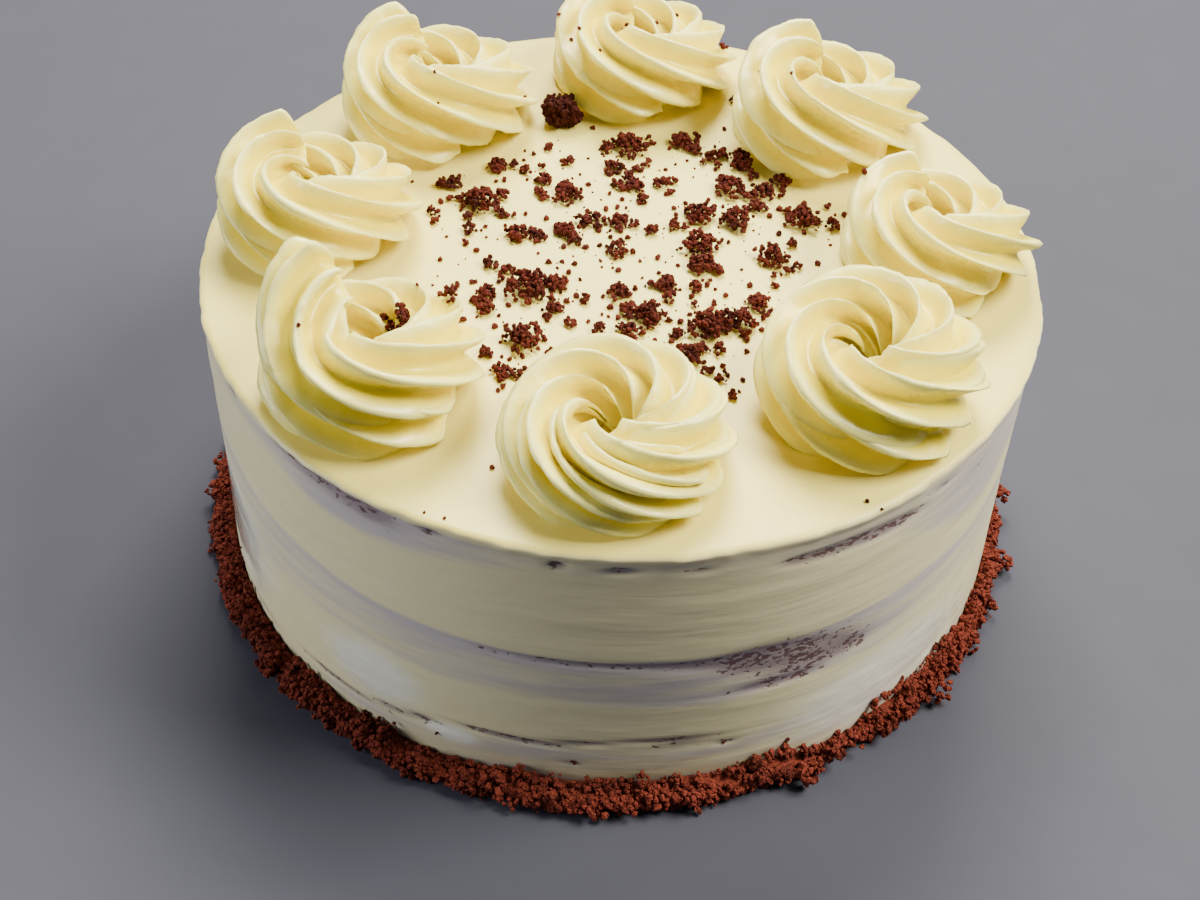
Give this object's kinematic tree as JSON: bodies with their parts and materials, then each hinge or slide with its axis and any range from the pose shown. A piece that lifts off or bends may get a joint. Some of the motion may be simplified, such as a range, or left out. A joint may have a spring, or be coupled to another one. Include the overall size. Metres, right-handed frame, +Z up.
{
  "type": "red velvet layer cake",
  "caption": "Round half-naked red velvet layer cake with thin cream icing, a ring of piped rosettes, cake crumbs on top and a crumb band round the foot.",
  "frame": {"origin": "middle of the cake's flat base, on the surface it stands on", "axes": "+Z up, -Y towards the side seen at the front of the picture, +X to the right"},
  "size_m": [0.2133, 0.2128, 0.1141],
  "materials": {
    "sponge": "open crumb, matte",
    "filling": "soft cream, satin",
    "icing": "scraped cream coat, satin with wet gloss in places",
    "piped_cream": "piped butter-yellow cream, satin",
    "crumbs": "dry crumb, matte"
  },
  "bodies": {
    "root": {"sponge_lower": "sponge", "filling_lower": "filling", "sponge_middle": "sponge", "filling_upper": "filling", "sponge_upper": "sponge", "icing": "icing", "rosette_1": "piped_cream", "rosette_2": "piped_cream", "rosette_3": "piped_cream", "rosette_4": "piped_cream", "rosette_5": "piped_cream", "rosette_6": "piped_cream", "rosette_7": "piped_cream", "rosette_8": "piped_cream", "crumb_chunk": "crumbs", "crumb_border": "crumbs"}
  },
  "joints": []
}
